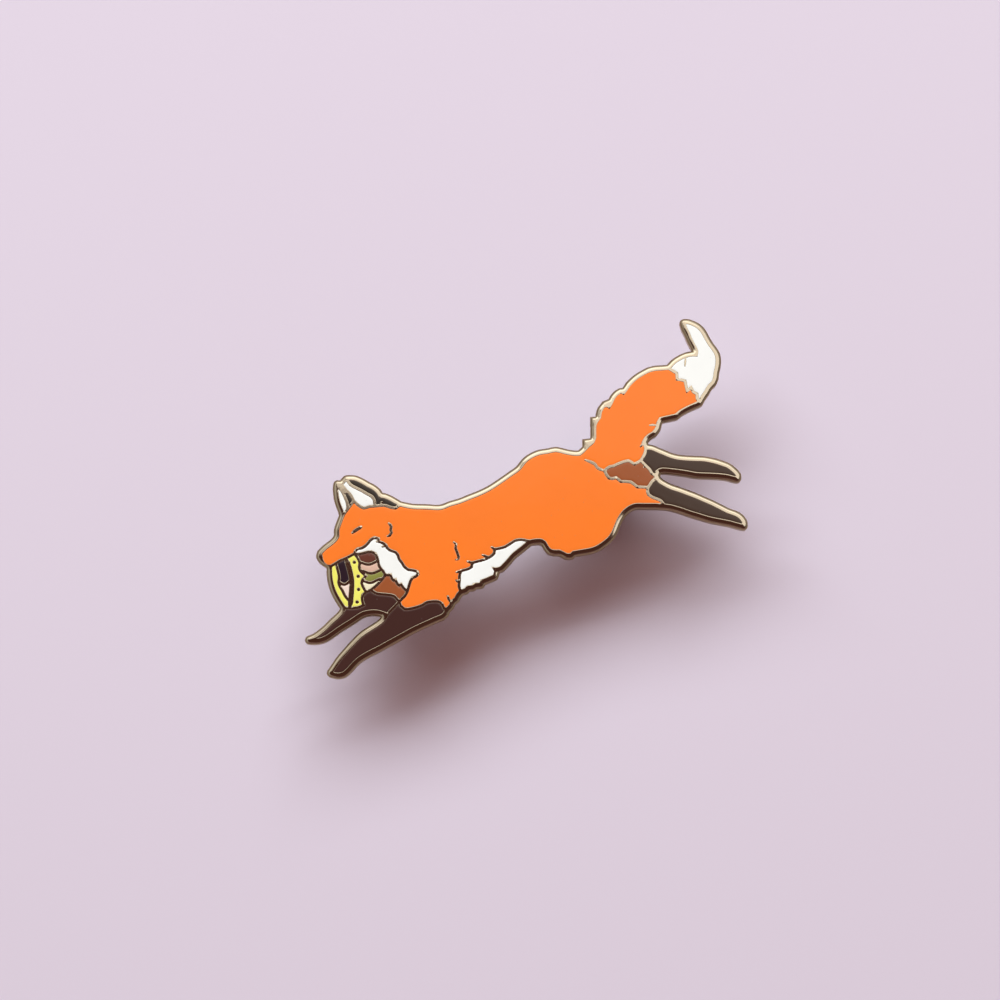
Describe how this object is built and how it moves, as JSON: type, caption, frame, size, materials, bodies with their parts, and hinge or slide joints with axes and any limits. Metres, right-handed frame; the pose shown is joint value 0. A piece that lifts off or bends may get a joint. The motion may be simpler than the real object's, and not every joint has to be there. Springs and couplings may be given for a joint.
{
  "type": "enamel fox brooch",
  "caption": "Leaping fox brooch in hard enamel with raised gilt walls, a patterned bowl in its mouth, and two back posts with rubber clutches.",
  "frame": {"origin": "centre of the brooch's outline seen from the front, at the surface that its clutches stand on", "axes": "+Z out of the front face, +X from the nose towards the hind legs, +Y towards the tip of the tail"},
  "size_m": [0.06, 0.0494, 0.0105],
  "materials": {
    "gilt_metal": "polished gold plating over a die-struck zinc or brass base",
    "enamel_orange": "hard enamel, ground and polished",
    "enamel_white": "hard enamel, ground and polished",
    "enamel_rust": "hard enamel, ground and polished",
    "enamel_hind_brown": "hard enamel, ground and polished",
    "enamel_fore_brown": "hard enamel, ground and polished",
    "enamel_ear_black": "hard enamel, ground and polished",
    "enamel_yellow": "hard enamel, ground and polished",
    "enamel_plum": "hard enamel, ground and polished",
    "enamel_blush": "hard enamel, ground and polished",
    "enamel_brown": "hard enamel, ground and polished",
    "enamel_pink": "hard enamel, ground and polished",
    "enamel_olive": "hard enamel, ground and polished",
    "enamel_cream": "hard enamel, ground and polished",
    "clutch_rubber": "moulded rubber, satin"
  },
  "bodies": {
    "root": {"metal_frame": "gilt_metal", "coat": "enamel_orange", "tail_tip": "enamel_white", "rump_shade": "enamel_rust", "hind_leg_far": "enamel_hind_brown", "hind_leg_near": "enamel_hind_brown", "belly": "enamel_white", "ruff": "enamel_white", "shoulder_shade": "enamel_rust", "foreleg_far": "enamel_fore_brown", "foreleg_near": "enamel_fore_brown", "ear_far_light": "enamel_white", "ear_far_dark": "enamel_ear_black", "ear_near_light": "enamel_white", "ear_near_dark": "enamel_ear_black", "bowl_stripe": "enamel_yellow", "bowl_inside_dark": "enamel_plum", "bowl_inside_light": "enamel_blush", "bowl_band": "enamel_yellow", "bowl_side_brown": "enamel_brown", "bowl_side_pink": "enamel_pink", "bowl_side_green": "enamel_olive", "bowl_side_cream": "enamel_cream", "clutch_front": "clutch_rubber", "clutch_rear": "clutch_rubber"}
  },
  "joints": []
}
